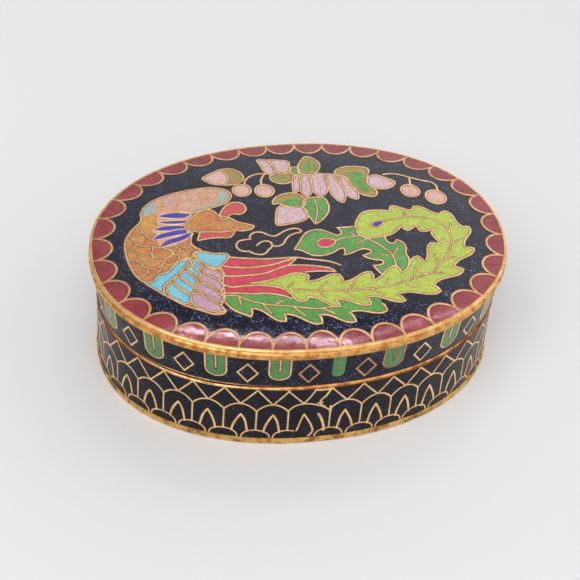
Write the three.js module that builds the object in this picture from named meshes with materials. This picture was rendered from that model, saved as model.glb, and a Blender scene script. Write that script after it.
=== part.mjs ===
// A small oval trinket box of enamelled copper with brass rims. Its domed lid has no hinge and lifts off.
// Millimetres, +Z up. The origin is the centre of the footprint, on the surface that the box stands on,
// and the long axis lies along X. Every piece follows one oval outline, stepped in or out by an even inset.
import * as THREE from "three";

// The oval: semi-axes of the widest outline, round the lid's edge band.
const HALF_LENGTH = 32.5;
const HALF_WIDTH = 24.05;
const FULLNESS = 2.14; // exponent of the superellipse: 2 is an ellipse, more fills out the shoulders
const STEPS_AROUND = 72;

// Heights, from the standing surface up.
const FOOT_TOP = 1.2; // top of the foot rim, where the base wall stands on it
const BASE_WALL_TOP = 11.7; // the mouth rim sits on this edge
const SEAM = 12.3; // the lid rests on the base here
const LID_WALL_FOOT = 12.65; // top of the lid's lower rim
const BAND_FOOT = 18.78; // the edge band covers the lid's wall above this
const BAND_TOP = 20.2; // the top wire lies on the band here
const DOME_EDGE = 20.7; // the dome starts here, inside the top wire
const DOME_RISE = 1.6;
const DOME_POWER = 3; // flat in the middle, turning down towards the edge

// Insets from the widest outline.
const FOOT_OUTER = 0.67;
const FOOT_INNER = 2.3;
const BASE_WALL_LOW = 0.85; // the base wall leans in a little as it rises
const BASE_WALL_HIGH = 1.0;
const BASE_INNER = 2.4;
const COLLAR_INNER = 3.0;
const LID_WALL_LOW = 1.0; // the lid's wall flares out towards the edge band
const LID_WALL_HIGH = 0.4;
const LID_INNER_LOW = 2.15; // leaves a running gap to the collar
const LID_INNER_HIGH = 1.7;
const BAND_INNER = 0.95;
const WIRE_INNER = 0.55;

// Thicknesses and depths.
const UNDERSIDE = 0.9; // the base plate is set up into the foot rim
const BASE_FLOOR = 2.2; // upper face of the base plate
const LID_SHEET = 1.3; // copper with enamel on both faces
const COLLAR_FOOT = 10.8;
const COLLAR_TOP = 14.4;

// A ring of the surface: the oval's semi-axes along X and Y, at a height.
const ring = (inset, z) => ({
  alongX: HALF_LENGTH - inset,
  alongY: HALF_WIDTH - inset,
  z,
});

// A ring of the dome: the dome's edge oval shrunk to a share of its size, sunk by a depth below the outer face.
const domeRing = (share, depth = 0) => ({
  alongX: share * (HALF_LENGTH - WIRE_INNER),
  alongY: share * (HALF_WIDTH - WIRE_INNER),
  z: DOME_EDGE + DOME_RISE * (1 - share ** DOME_POWER) - depth,
});

// The middle of a closed face, where its rings shrink to a point.
const middle = (z) => ({ alongX: 0, alongY: 0, z });

// Turns a section into a solid. The section is a list of rings, from the axis back to the axis, or a loop
// that closes on itself; it runs anticlockwise, up the outside and down the inside. LatheGeometry turns it
// round a circle, and each vertex then moves out to the superellipse
// x = alongX cos t (|cos t|^n + |sin t|^n)^(-1/n), and the same with sin t for y.
function ovalSolid(rings) {
  const section = rings.map((r) => new THREE.Vector2(r.alongY, r.z));
  const geometry = new THREE.LatheGeometry(section, STEPS_AROUND);
  const place = geometry.getAttribute("position");
  for (let i = 0; i < place.count; i++) {
    const { alongX, alongY, z } = rings[i % rings.length];
    const turn = Math.floor(i / rings.length) % STEPS_AROUND;
    const angle = (2 * Math.PI * turn) / STEPS_AROUND;
    const cos = Math.cos(angle);
    const sin = Math.sin(angle);
    const reach =
      (Math.abs(cos) ** FULLNESS + Math.abs(sin) ** FULLNESS) ** (-1 / FULLNESS);
    place.setXYZ(i, alongX * cos * reach, alongY * sin * reach, z);
  }
  geometry.computeVertexNormals();
  return geometry;
}

const closed = (loop) => [...loop, loop[0]];

// Base: plate and wall in one, with a filleted inner corner.
const baseBody = () =>
  ovalSolid([
    middle(UNDERSIDE),
    ring(FOOT_INNER, UNDERSIDE),
    ring(FOOT_INNER, FOOT_TOP),
    ring(BASE_WALL_LOW, FOOT_TOP),
    ring(BASE_WALL_HIGH, BASE_WALL_TOP),
    ring(BASE_INNER, BASE_WALL_TOP),
    ring(BASE_INNER, COLLAR_FOOT),
    ring(BASE_INNER, BASE_FLOOR + 1.2),
    ring(BASE_INNER + 0.35, BASE_FLOOR + 0.35),
    ring(BASE_INNER + 1.2, BASE_FLOOR),
    middle(BASE_FLOOR),
  ]);

// Foot rim: a flat-bottomed strip with a rounded outer face.
const baseFootRim = () =>
  ovalSolid(
    closed([
      ring(FOOT_INNER, 0),
      ring(FOOT_OUTER + 0.28, 0),
      ring(FOOT_OUTER + 0.04, 0.25),
      ring(FOOT_OUTER, 0.75),
      ring(FOOT_OUTER + 0.13, FOOT_TOP),
      ring(FOOT_INNER, FOOT_TOP),
    ]),
  );

// Mouth rim: the bead that the lid lands on, and the collar inside it that keeps the lid in place.
const baseMouthRim = () =>
  ovalSolid(
    closed([
      ring(COLLAR_INNER, COLLAR_FOOT),
      ring(BASE_INNER, COLLAR_FOOT),
      ring(BASE_INNER, BASE_WALL_TOP),
      ring(BASE_WALL_HIGH, BASE_WALL_TOP),
      ring(BASE_WALL_HIGH - 0.1, (BASE_WALL_TOP + SEAM) / 2),
      ring(BASE_WALL_HIGH, SEAM),
      ring(BASE_INNER, SEAM),
      ring(BASE_INNER, COLLAR_TOP - 0.2),
      ring((BASE_INNER + COLLAR_INNER) / 2, COLLAR_TOP),
      ring(COLLAR_INNER, COLLAR_TOP - 0.2),
    ]),
  );

// Lid: the domed top and its side wall in one, hollow and open below.
const lidBody = () =>
  ovalSolid([
    middle(DOME_EDGE + DOME_RISE - LID_SHEET),
    domeRing(0.35, LID_SHEET),
    domeRing(0.62, LID_SHEET),
    domeRing(0.8, LID_SHEET),
    domeRing(0.89, LID_SHEET),
    ring(LID_INNER_HIGH + 0.3, DOME_EDGE - LID_SHEET),
    ring(LID_INNER_HIGH, DOME_EDGE - LID_SHEET - 0.7),
    ring(LID_INNER_LOW, LID_WALL_FOOT),
    ring(LID_WALL_LOW, LID_WALL_FOOT),
    ring(LID_WALL_HIGH, BAND_FOOT),
    ring(BAND_INNER, BAND_FOOT),
    ring(BAND_INNER, BAND_TOP),
    ring(WIRE_INNER, BAND_TOP),
    domeRing(1),
    domeRing(0.93),
    domeRing(0.85),
    domeRing(0.75),
    domeRing(0.62),
    domeRing(0.46),
    domeRing(0.26),
    middle(DOME_EDGE + DOME_RISE),
  ]);

// Lower rim: the thin strip that finishes the lid's open edge.
const lidLowerRim = () =>
  ovalSolid(
    closed([
      ring(LID_INNER_LOW, SEAM),
      ring(LID_WALL_LOW + 0.04, SEAM),
      ring(LID_WALL_LOW - 0.04, (SEAM + LID_WALL_FOOT) / 2),
      ring(LID_WALL_LOW, LID_WALL_FOOT),
      ring(LID_INNER_LOW, LID_WALL_FOOT),
    ]),
  );

// Edge band: the wide rounded strip round the lid's shoulder, the widest part of the box.
const lidEdgeBand = () =>
  ovalSolid(
    closed([
      ring(BAND_INNER, BAND_FOOT),
      ring(0.3, BAND_FOOT),
      ring(0.05, BAND_FOOT + 0.35),
      ring(0, BAND_FOOT + 0.8),
      ring(0.12, BAND_TOP),
      ring(BAND_INNER, BAND_TOP),
    ]),
  );

// Top wire: the bright round wire on the band, that the enamel of the dome is filled up to.
const lidTopWire = () =>
  ovalSolid(
    closed([
      ring(WIRE_INNER, BAND_TOP),
      ring(0.12, BAND_TOP),
      ring(0.1, BAND_TOP + 0.35),
      ring(0.3, BAND_TOP + 0.58),
      ring(WIRE_INNER, DOME_EDGE),
    ]),
  );

const darkEnamel = new THREE.MeshStandardMaterial({
  color: 0x161a2b,
  roughness: 0.25,
  metalness: 0,
});
const gildedBrass = new THREE.MeshStandardMaterial({
  color: 0xcf9845,
  roughness: 0.38,
  metalness: 1,
});

function piece(name, geometry, material) {
  const mesh = new THREE.Mesh(geometry, material);
  mesh.name = name;
  return mesh;
}

const base = new THREE.Group().add(
  piece("base_body", baseBody(), darkEnamel),
  piece("base_foot_rim", baseFootRim(), gildedBrass),
  piece("base_mouth_rim", baseMouthRim(), gildedBrass),
);
const lid = new THREE.Group().add(
  piece("lid_body", lidBody(), darkEnamel),
  piece("lid_lower_rim", lidLowerRim(), gildedBrass),
  piece("lid_edge_band", lidEdgeBand(), gildedBrass),
  piece("lid_top_wire", lidTopWire(), gildedBrass),
);

export default new THREE.Group().add(base, lid);
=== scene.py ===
"""A small oval trinket box of cloisonne enamel: a phoenix and a peony spray inside a border of scallops
on the domed lid, lappets and diamonds round the lid's wall, arches and lancets round the base.

Every surface is worked out in millimetres from the oval that the whole box follows, and goes into its
mesh in metres. Enamel cells and gilt wires are laid on a surface as thin closed solids."""

import bpy
import numpy as np
from mathutils import Matrix, Vector
from mathutils.geometry import delaunay_2d_cdt


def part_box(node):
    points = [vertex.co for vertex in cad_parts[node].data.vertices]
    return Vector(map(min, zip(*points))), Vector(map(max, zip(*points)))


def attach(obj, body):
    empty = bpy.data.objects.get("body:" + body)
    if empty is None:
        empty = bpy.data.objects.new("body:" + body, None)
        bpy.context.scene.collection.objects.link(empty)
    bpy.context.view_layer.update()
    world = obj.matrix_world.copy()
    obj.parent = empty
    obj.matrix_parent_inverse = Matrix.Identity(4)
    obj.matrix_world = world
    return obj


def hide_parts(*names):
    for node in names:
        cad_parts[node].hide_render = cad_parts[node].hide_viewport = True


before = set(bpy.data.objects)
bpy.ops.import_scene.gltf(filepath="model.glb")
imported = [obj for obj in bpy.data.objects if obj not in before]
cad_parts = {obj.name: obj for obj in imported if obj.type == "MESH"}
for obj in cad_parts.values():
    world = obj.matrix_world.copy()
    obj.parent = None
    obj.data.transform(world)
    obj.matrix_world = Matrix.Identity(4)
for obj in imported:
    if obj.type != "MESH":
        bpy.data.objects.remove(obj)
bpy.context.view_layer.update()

MM = 0.001
PI = np.pi


# ---------------------------------------------------------------- sizes, from the frame

def extent(node):
    """Half length, half width, lowest and highest level of a node, in millimetres."""
    low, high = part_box(node)
    return high.x / MM, high.y / MM, low.z / MM, high.z / MM


HALF_LENGTH, HALF_WIDTH, BAND_FOOT, BAND_TOP = extent("lid_edge_band")
FOOT_REACH, _, _, FOOT_TOP = extent("base_foot_rim")
BASE_REACH, _, UNDERSIDE, BASE_TOP = extent("base_body")
MOUTH_REACH, _, COLLAR_FOOT, COLLAR_TOP = extent("base_mouth_rim")
RIM_REACH, _, SEAM, LID_FOOT = extent("lid_lower_rim")
LID_REACH, _, _, DOME_TOP = extent("lid_body")
WIRE_REACH, _, _, DOME_EDGE = extent("lid_top_wire")

FULLNESS = 2.14  # exponent of the oval: 2 is an ellipse, more fills out the shoulders
DOME_POWER = 3  # the dome is flat in the middle and turns down towards its edge
DOME_INSET = 0.55
DOME_RISE = DOME_TOP - DOME_EDGE
SUNK = 0.06  # the ground enamel lies this much below the wires
CELL_LIFT = 0.03  # and a colour cell this much above the ground
LAYER_STEP = 0.003  # a cell on a higher layer stands this much above the one below
SKIRT = 0.03  # a cell's edge goes down this much into the ground
WIRE = 0.34
SHADE_TARNISH = 0.13  # a dark line of painted shade and tarnish shows by this much in all on the two sides of a wire
THIN_WIRE = 0.21  # up to this width a wire has no dark line

FOOT_INSET = HALF_LENGTH - FOOT_REACH
BASE_LOW = HALF_LENGTH - BASE_REACH
MOUTH_INSET = HALF_LENGTH - MOUTH_REACH
BASE_HIGH = MOUTH_INSET + 0.1
LID_HIGH = HALF_LENGTH - LID_REACH
LID_LOW = HALF_LENGTH - RIM_REACH + 0.04

PLATE = 1.3  # the base's floor and the lid's dome are this thick
BASE_WALL = 1.5  # from the mouth rim's outer face to the inside of the base
FOOT_STRIP = 1.63  # the breadth of the foot strip
BAND_INNER = 0.95
OPEN_AT, OPEN_SPREAD = 234, 26  # in degrees round: where the seam stands open, and how far that spreads
AROUND = 480  # steps round the oval in the box's own solids


# ---------------------------------------------------------------- the oval, and points on the box

def oval(turn, inset):
    """The oval at an angle: x = a cos t r and y = b sin t r, with r = (|cos t|^n + |sin t|^n)^(-1/n).
    a and b are the half length and half width less the inset."""
    cos, sin = np.cos(turn), np.sin(turn)
    reach = (np.abs(cos) ** FULLNESS + np.abs(sin) ** FULLNESS) ** (-1 / FULLNESS)
    return (HALF_LENGTH - inset) * cos * reach, (HALF_WIDTH - inset) * sin * reach


# Distance along the oval from the middle of the front, against the angle, for one turn. It is
# measured along the walls' mean inset.
TURNS = np.linspace(-1.5 * PI, 0.5 * PI, 7201)
WALL_INSET = 0.8
ALONG = np.concatenate([[0], np.cumsum(np.hypot(*np.diff(oval(TURNS, WALL_INSET), axis=1)))])
GIRTH = ALONG[-1]
ALONG = ALONG - GIRTH / 2


def turn_at(along):
    """The oval's angle at a distance along it from the middle of the front, to the right."""
    along = (np.asarray(along, float) + GIRTH / 2) % GIRTH - GIRTH / 2
    return np.interp(along, ALONG, TURNS)


def dome(x, y, lift):
    """A point of the dome: height = edge + rise (1 - share^3), where share is the size of the oval
    through the point against the dome's edge."""
    a, b = HALF_LENGTH - DOME_INSET, HALF_WIDTH - DOME_INSET
    share = (np.abs(x / a) ** FULLNESS + np.abs(y / b) ** FULLNESS) ** (1 / FULLNESS)
    return np.stack([x, y, DOME_EDGE + DOME_RISE * (1 - share**DOME_POWER) + lift], -1)


def wall(along, height, lift, low, high):
    """A point of a wall that leans evenly from the inset and level in low to those in high."""
    inset = low[0] + (high[0] - low[0]) * (height - low[1]) / (high[1] - low[1])
    x, y = oval(turn_at(along), inset - lift)
    return np.stack([x, y, height + 0 * x], -1)


def base_wall(along, height, lift):
    """A point of the base's wall."""
    return wall(along, height, lift, (BASE_LOW, FOOT_TOP), (BASE_HIGH, BASE_TOP))


def lid_wall(along, height, lift):
    """A point of the lid's wall."""
    return wall(along, height, lift, (LID_LOW, LID_FOOT), (LID_HIGH, BAND_FOOT))


def rim_plan(along, depth):
    """The plan place of a point this far along the dome's edge and this far in from it."""
    return np.stack(oval(turn_at(along), DOME_INSET + depth), -1)


# ---------------------------------------------------------------- lines

def smooth(points, closed=False, step=0.3):
    """A flowing line through given points: a cubic between each two, whose slope at a point is
    the mean of the two chords that meet there, each weighted by the other's length."""
    p = np.array(points, float)
    if closed:
        p = np.vstack([p[-2:], p, p[:3]])
    length = np.hypot(*np.diff(p, axis=0).T)
    slope = np.diff(p, axis=0) / length[:, None]
    inner = (slope[:-1] * length[1:, None] + slope[1:] * length[:-1, None]) / (
        length[:-1] + length[1:]
    )[:, None]
    tangent = np.vstack([2 * slope[:1] - inner[:1], inner, 2 * slope[-1:] - inner[-1:]])
    if len(p) == 2:
        tangent = np.vstack([slope, slope])
    first, last = (2, len(p) - 3) if closed else (0, len(p) - 1)
    knots = np.concatenate([[0], np.cumsum(length)])
    count = max(int(np.ceil((knots[last] - knots[first]) / step)), 2)
    at = np.linspace(knots[first], knots[last], count + 1)
    i = np.clip(np.searchsorted(knots, at, side="right") - 1, 0, len(p) - 2)
    h = length[i][:, None]
    u = ((at - knots[i]) / length[i])[:, None]
    line = (
        (2 * u**3 - 3 * u**2 + 1) * p[i]
        + (u**3 - 2 * u**2 + u) * h * tangent[i]
        + (3 * u**2 - 2 * u**3) * p[i + 1]
        + (u**3 - u**2) * h * tangent[i + 1]
    )
    return line[:-1] if closed else line


def joined(*lines):
    """Lines end to end, with a corner where two meet."""
    return np.vstack([lines[0]] + [line[1:] for line in lines[1:]])


def cornered(*runs):
    """Flowing lines through runs of points, end to end, with a corner where two meet."""
    return joined(*(smooth(points) for points in runs))


def bend(start, end, first, second, steps=9):
    """A cubic bow from start to end. Its two handles stand off the chord, to the left, by the first
    and the second share of the chord's length."""
    start, end = np.array(start, float), np.array(end, float)
    chord = end - start
    left = np.array([-chord[1], chord[0]])
    one = start + chord * 0.36 + left * first
    two = end - chord * 0.3 + left * second
    u = np.linspace(0, 1, steps)[:, None]
    return (
        (1 - u) ** 3 * start
        + 3 * (1 - u) ** 2 * u * one
        + 3 * (1 - u) * u**2 * two
        + u**3 * end
    )


def toothed(points, side):
    """A feather's ragged edge through a start, then a tip and a notch in turn. Each barb leaves the
    notch on the inside of its chord, swells to the outer side and hooks back from its tip."""
    runs = []
    for i, (start, end) in enumerate(zip(points, points[1:])):
        if i % 2 == 0:
            runs.append(bend(start, end, 0.2 * side, -0.22 * side))
        else:
            runs.append(bend(start, end, -0.1 * side, -0.25 * side, 5))
    return joined(*runs)


def ellipse(centre, across, up, tilt=0.0, steps=28):
    """An ellipse: its centre, its two diameters and its tilt in degrees."""
    turn = np.linspace(0, 2 * PI, steps, endpoint=False)
    x, y = across / 2 * np.cos(turn), up / 2 * np.sin(turn)
    cos, sin = np.cos(np.radians(tilt)), np.sin(np.radians(tilt))
    return np.stack([centre[0] + x * cos - y * sin, centre[1] + x * sin + y * cos], -1)


def petal(root, tip, width, blunt=0.55, steps=14):
    """A petal from its root to its tip: half its width at a share u of its length is
    width / 2 sin(pi u)^blunt."""
    root, tip = np.array(root, float), np.array(tip, float)
    chord = tip - root
    left = np.array([-chord[1], chord[0]]) / np.hypot(*chord)
    u = (1 - np.cos(np.linspace(0, PI, steps))) / 2
    half = width / 2 * np.sin(PI * u) ** blunt
    one = root + u[:, None] * chord + half[:, None] * left
    two = root + u[:, None] * chord - half[:, None] * left
    return np.vstack([one, two[-2:0:-1]])


def inside(points, outline):
    """Whether each point is in the outline: a ray to the right crosses its sides an odd number of times."""
    a = outline[None]
    b = np.roll(outline, -1, axis=0)[None]
    x, y = points[:, :1], points[:, 1:]
    spans = (a[..., 1] > y) != (b[..., 1] > y)
    rise = np.where(b[..., 1] == a[..., 1], 1, b[..., 1] - a[..., 1])
    cross = a[..., 0] + (y - a[..., 1]) * (b[..., 0] - a[..., 0]) / rise
    return (np.sum(spans & (x < cross), axis=1) % 2).astype(bool)


# ---------------------------------------------------------------- meshes

def outward(points, faces):
    """The faces, all turned over if the closed solid they make is inside out."""
    volume = 0.0
    for corners in faces:
        for i in range(1, corners.shape[1] - 1):
            a, b, c = (points[corners[:, k]] for k in (0, i, i + 1))
            volume += np.sum(a * np.cross(b, c))
    return [f[:, ::-1] for f in faces] if volume < 0 else faces


def make_piece(name, points, faces, materials, replaces=(), which=None, sharp=35):
    """A mesh object from points in millimetres and arrays of quads and triangles."""
    faces = outward(points, faces)
    mesh = bpy.data.meshes.new(name)
    mesh.from_pydata(points * MM, [], [tuple(c) for f in faces for c in f.tolist()])
    for material in materials:
        mesh.materials.append(material)
    if which is not None:
        mesh.polygons.foreach_set("material_index", which.astype(np.int32))
    mesh.polygons.foreach_set("use_smooth", np.ones(len(mesh.polygons), bool))
    mesh.set_sharp_from_angle(angle=np.radians(sharp))
    mesh.update()
    piece = bpy.data.objects.new(name, mesh)
    bpy.context.scene.collection.objects.link(piece)
    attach(piece, "root")
    if replaces:
        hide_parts(*replaces)
    return piece


def ovals(section):
    """Rings of the oval for a section of (inset, level) pairs: an array ring x step x coordinate."""
    section = np.array(section, float)
    turn = np.linspace(0, 2 * PI, AROUND, endpoint=False)[None]
    x, y = oval(turn, section[:, :1])
    return np.stack([x, y, section[:, 1:] + 0 * x], -1)


def dome_rings(shares, drop):
    """Rings of the dome at shares of its edge, sunk by a drop; the last share may be 0, its middle."""
    shares = np.array(shares, float)[:, None]
    turn = np.linspace(0, 2 * PI, AROUND, endpoint=False)[None]
    x, y = oval(turn, DOME_INSET)
    return dome(shares * x, shares * y, -drop)


def turned(name, rings, materials, replaces=(), changes=(), closed=False):
    """A solid from rings round the oval. It closes on itself, or starts and ends at a middle point,
    where its ring shrinks to one vertex. The next material starts at each ring listed in changes."""
    count, steps = rings.shape[:2]
    index = np.arange(count * steps).reshape(count, steps)
    points = rings.reshape(-1, 3)
    if not closed:
        index[0], index[-1] = index[0, 0], index[-1, 0]
    rows = np.vstack([index, index[:1]]) if closed else index
    a, b = rows[:-1], rows[1:]
    quads = np.stack([a, np.roll(a, -1, 1), np.roll(b, -1, 1), b], -1).reshape(-1, 4)
    ring_of = np.repeat(np.arange(len(a)), steps)
    if closed:
        faces, order = [quads], ring_of
    else:
        top, bottom = ring_of == 0, ring_of == len(a) - 1
        faces = [quads[~top & ~bottom], quads[top][:, [0, 2, 3]], quads[bottom][:, [0, 1, 2]]]
        order = np.concatenate([ring_of[~top & ~bottom], ring_of[top], ring_of[bottom]])
    used, packed = np.unique(np.concatenate([f.ravel() for f in faces]), return_inverse=True)
    cuts = np.cumsum([f.size for f in faces])[:-1]
    faces = [p.reshape(-1, f.shape[1]) for p, f in zip(np.split(packed, cuts), faces)]
    which = np.searchsorted(changes, order, side="right") if len(changes) else None
    return make_piece(name, points[used], faces, materials, replaces, which)


# The wire's section: across, in half widths, and up, from under the ground to the flat top.
WIRE_SECTION = np.array([(-1, -0.05), (-1, 0.62), (-0.62, 1), (0.62, 1), (1, 0.62), (1, -0.05)])
# The section of the dark line that a wire lies in, painted shade beside the wire and tarnish, which stands
# just clear of the cells.
SHADE_TARNISH_SECTION = np.array([(-1, -0.05), (-1, 0.8), (1, 0.8), (1, -0.05)])


def wire_solid(line, width, surface, section=WIRE_SECTION):
    """A flat wire along a plan line: its section is carried along the line, square to it, and its
    half width at a distance d from an end is (w/2) sqrt(1 - (1 - 2d/w)^2), which rounds the end."""
    step = np.hypot(*np.diff(line, axis=0).T)
    line = line[np.concatenate([[True], step > 1e-6])]
    half = width / 2
    head, tail = line[0] - line[1], line[-1] - line[-2]
    cap = half * np.array([0.98, 0.8, 0.45])[:, None]
    line = np.vstack([
        line[0] + head / np.hypot(*head) * cap,
        line,
        (line[-1] + tail / np.hypot(*tail) * cap)[::-1],
    ])
    chord = np.diff(line, axis=0)
    chord = chord / np.hypot(*chord.T)[:, None]
    tangent = np.vstack([chord[:1], chord[:-1] + chord[1:], chord[-1:]])
    tangent = tangent / np.maximum(np.hypot(*tangent.T), 0.35)[:, None]
    left = np.stack([-tangent[:, 1], tangent[:, 0]], -1)
    length = np.concatenate([[0], np.cumsum(np.hypot(*np.diff(line, axis=0).T))])
    room = np.minimum(length, length[-1] - length) + half * 0.02
    widths = half * np.sqrt(1 - (1 - np.clip(room / half, 0, 1)) ** 2)
    across = line[:, None] + left[:, None] * (section[:, 0] * widths[:, None])[..., None]
    lift = (section[:, 1] - 1) * SUNK + 0 * across[..., 0]
    points = surface(across[..., 0], across[..., 1], lift)
    count, sides = points.shape[:2]
    index = np.arange(count * sides).reshape(count, sides)
    nxt = np.roll(index, -1, 1)
    quads = np.stack([index[:-1], nxt[:-1], nxt[1:], index[1:]], -1).reshape(-1, 4)
    ends = np.stack([index[0, ::-1], index[-1]])
    return points.reshape(-1, 3), quads, ends


def cell_solid(outline, layer, surface, grain=1.3):
    """A cell of enamel: a closed plan outline filled with triangles, whose inner corners lie on a
    grid so that the cell follows the surface, with a skirt down to below the ground."""
    low, high = outline.min(0), outline.max(0)
    grid = np.stack(np.meshgrid(np.arange(low[0], high[0], grain), np.arange(low[1], high[1], grain)), -1)
    grid = grid.reshape(-1, 2)
    if len(grid):
        grid = grid[inside(grid, outline)]
    if len(grid):
        gap = np.hypot(*(grid[:, None] - outline[None]).transpose(2, 0, 1)).min(1)
        grid = grid[gap > 0.4 * grain]
    plan = [Vector(p) for p in np.vstack([outline, grid])]
    plan, _, faces, *_ = delaunay_2d_cdt(plan, [], [list(range(len(outline)))], 1, 1e-5)
    plan = np.array([tuple(p) for p in plan])
    faces = np.array([f for f in faces])
    top = surface(plan[:, 0], plan[:, 1], np.full(len(plan), -SUNK + CELL_LIFT + LAYER_STEP * layer))
    bottom = surface(plan[:, 0], plan[:, 1], np.full(len(plan), -SUNK - SKIRT))
    edges = np.concatenate([faces[:, [0, 1]], faces[:, [1, 2]], faces[:, [2, 0]]])
    key = np.sort(edges, 1)
    _, first, count = np.unique(key, axis=0, return_index=True, return_counts=True)
    rim = edges[first[count == 1]]
    n = len(plan)
    skirt = np.stack([rim[:, 1], rim[:, 0], rim[:, 0] + n, rim[:, 1] + n], -1)
    return np.vstack([top, bottom]), skirt, np.vstack([faces, faces[:, ::-1] + n])


class Inlay:
    """Cells of enamel, by colour, and the wires between them, all in the plan of one surface."""

    def __init__(self, surface):
        self.surface = surface
        self.cells = {}
        self.wires = {}

    def cell(self, colour, outline, layer=0):
        """A patch of colour. A higher layer covers a lower one."""
        self.cells.setdefault(colour, []).append((np.array(outline, float), layer))

    def wire(self, line, width=WIRE, metal="gilt"):
        """A flat wire along a line."""
        self.wires.setdefault(metal, []).append((np.array(line, float), width))

    def bound(self, colour, outline, layer=0, width=WIRE):
        """A patch of colour with a wire all round it."""
        self.cell(colour, outline, layer)
        self.wire(np.vstack([outline, outline[:1]]), width)

    def stain(self, colour, points, layer=0):
        """A patch of colour with a flowing outline through the points."""
        self.cell(colour, smooth(points, closed=True), layer)

    def patch(self, colour, points, layer=0, width=WIRE):
        """A patch of colour with a flowing outline and a wire all round it."""
        self.bound(colour, smooth(points, closed=True), layer, width)

    def stroke(self, points, width=WIRE, metal="gilt"):
        """A wire that flows through the points."""
        self.wire(smooth(points), width, metal)

    def build(self, name, finishes):
        """One object for each colour and each metal, and one for the dark lines of painted shade and tarnish
        under the wires.
        """
        for colour, cells in self.cells.items():
            parts = [cell_solid(outline, layer, self.surface) for outline, layer in cells]
            join_parts(f"{name}_{colour}", parts, finishes[colour])
        for metal, wires in self.wires.items():
            parts = [wire_solid(line, width, self.surface) for line, width in wires]
            join_parts(f"{name}_{metal}_wires", parts, finishes[metal], sharp=60)
        # The dark lines along the wires: painted shade beside each wire, and tarnish.
        parts = [
            wire_solid(line, width + SHADE_TARNISH, self.surface, SHADE_TARNISH_SECTION)
            for wires in self.wires.values()
            for line, width in wires
            if width > THIN_WIRE
        ]
        join_parts(f"{name}_wire_shade_tarnish_lines", parts, finishes["wire_shade_tarnish"], sharp=60)


def join_parts(name, parts, finish, sharp=35):
    """One piece from many closed solids, each given as points and two arrays of faces."""
    starts = np.cumsum([0] + [len(p[0]) for p in parts[:-1]])
    points = np.vstack([p[0] for p in parts])
    one = np.vstack([p[1] + s for p, s in zip(parts, starts)])
    two = np.vstack([p[2] + s for p, s in zip(parts, starts)])
    return make_piece(name, points, [one, two], [finish], sharp=sharp)


# ---------------------------------------------------------------- shader nodes

def srgb(red, green, blue):
    """A display colour, 0 to 255 a channel, as a linear one."""
    c = np.array([red, green, blue]) / 255
    return (*np.where(c < 0.04045, c / 12.92, ((c + 0.055) / 1.055) ** 2.4), 1.0)


def add(tree, kind, inputs=None, **settings):
    """A node with its settings, and its inputs joined to a socket or set to a value."""
    node = tree.nodes.new("ShaderNode" + kind)
    for key, value in settings.items():
        setattr(node, key, value)
    for socket, value in (inputs or {}).items():
        if isinstance(value, bpy.types.NodeSocket):
            tree.links.new(value, node.inputs[socket])
        else:
            node.inputs[socket].default_value = value
    return node


def ranged(tree, value, low, high, to_low=0.0, to_high=1.0):
    """A value's range, stretched or turned over to another, held within it and eased at both ends."""
    inputs = {"Value": value, "From Min": low, "From Max": high, "To Min": to_low, "To Max": to_high}
    return add(tree, "MapRange", inputs, interpolation_type="SMOOTHSTEP").outputs["Result"]


def times(tree, one, two):
    """The product of two values."""
    return add(tree, "Math", {0: one, 1: two}, operation="MULTIPLY").outputs[0]


def mixed(tree, share, one, two, blend="MIX"):
    """Two colours, mixed by a share."""
    node = add(tree, "Mix", data_type="RGBA", blend_type=blend)
    for socket, value in (("Factor_Float", share), ("A_Color", one), ("B_Color", two)):
        target = next(s for s in node.inputs if s.identifier == socket)
        if isinstance(value, bpy.types.NodeSocket):
            tree.links.new(value, target)
        else:
            target.default_value = value
    return next(s for s in node.outputs if s.identifier == "Result_Color")


def noise(tree, place, scale, detail=3.0, rough=0.55):
    """A noise value at a place, about 0.5 on average."""
    inputs = {"Vector": place, "Scale": scale, "Detail": detail, "Roughness": rough}
    return add(tree, "TexNoise", inputs).outputs["Fac"]


def effect(name, inputs, outputs):
    """A new node group with named sockets. Gives its tree, its inputs and its output node."""
    tree = bpy.data.node_groups.new(name, "ShaderNodeTree")
    for socket, kind, value in inputs:
        new = tree.interface.new_socket(socket, in_out="INPUT", socket_type="NodeSocket" + kind)
        new.default_value = value
    for socket, kind in outputs:
        tree.interface.new_socket(socket, in_out="OUTPUT", socket_type="NodeSocket" + kind)
    given = tree.nodes.new("NodeGroupInput").outputs
    return tree, given, tree.nodes.new("NodeGroupOutput")


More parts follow.
